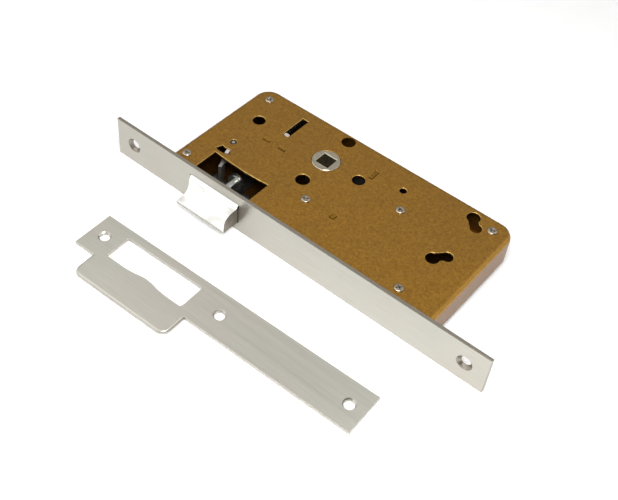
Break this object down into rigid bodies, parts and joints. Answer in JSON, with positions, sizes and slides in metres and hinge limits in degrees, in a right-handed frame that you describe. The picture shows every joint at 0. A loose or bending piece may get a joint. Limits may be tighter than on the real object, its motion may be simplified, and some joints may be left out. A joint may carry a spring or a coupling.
{
  "type": "mortise lock",
  "caption": "Mortise latch lock: steel case with turning square follower and a sprung, reversible latch, behind a long flat forend, with its separate lipped strike plate.",
  "frame": {"origin": "spindle axis at the middle of the case's thickness", "axes": "+X along the forend towards its far end, +Y into the door, +Z out of the lock's upper face"},
  "size_m": [0.235, 0.1573, 0.024],
  "materials": {
    "forend_stainless": "satin stainless steel",
    "strike_stainless": "brushed stainless steel",
    "case_lacquer": "gold-brown hammered lacquer",
    "latch_nickel": "nickel plated, smooth",
    "zinc_plate": "bright zinc plated steel",
    "inner_steel": "zinc plated pressed steel",
    "spring_steel": "oiled spring wire",
    "pin_plastic": "pale moulded plastic"
  },
  "bodies": {
    "lock_case": {"forend": "forend_stainless", "base_plate": "case_lacquer", "case_cap": "case_lacquer", "case_posts": "inner_steel", "cap_screws": "zinc_plate", "latch_rails": "inner_steel", "carriage_guide": "inner_steel", "spring_bracket": "inner_steel", "spring_rod": "zinc_plate", "carriage_spring": "spring_steel", "follower_stop": "inner_steel", "spring_seat": "inner_steel", "follower_spring": "spring_steel", "catch_rivet": "zinc_plate", "catch_washer": "inner_steel"},
    "follower": {"follower": "zinc_plate"},
    "latch": {"latch_head": "latch_nickel", "tail_rod": "zinc_plate", "tail_spool": "zinc_plate", "latch_carriage": "inner_steel", "carriage_pin": "pin_plastic"},
    "catch": {"reversing_catch": "zinc_plate"},
    "strike": {"strike_plate": "strike_stainless"}
  },
  "joints": [
    {"name": "follower_turn", "type": "hinge", "parent": "lock_case", "child": "follower", "pos_m": [0, 0, 0], "axis": [0, 0, -1], "range_deg": [0, 33], "stiffness_Nm_per_rad": 0.3, "springref_deg": -11.46, "deforming": ["follower_spring"]},
    {"name": "latch_slide", "type": "slide", "parent": "lock_case", "child": "latch", "axis": [0, 1, 0], "range_m": [0, 0.0108], "stiffness_N_per_m": 250, "springref_m": -0.012, "deforming": ["carriage_spring"]},
    {"name": "catch_turn", "type": "hinge", "parent": "lock_case", "child": "catch", "pos_m": [-0.045, -0.0226, 0], "axis": [0, 0, -1], "range_deg": [0, 31]},
    {"name": "strike_plate_lift", "type": "slide", "parent": "lock_case", "child": "strike", "axis": [0, 0, 1], "range_m": [0, 0.03]}
  ],
  "couplings": [
    {"joint": "follower_turn", "follows": "latch_slide", "rad_per_m": 53.3}
  ]
}
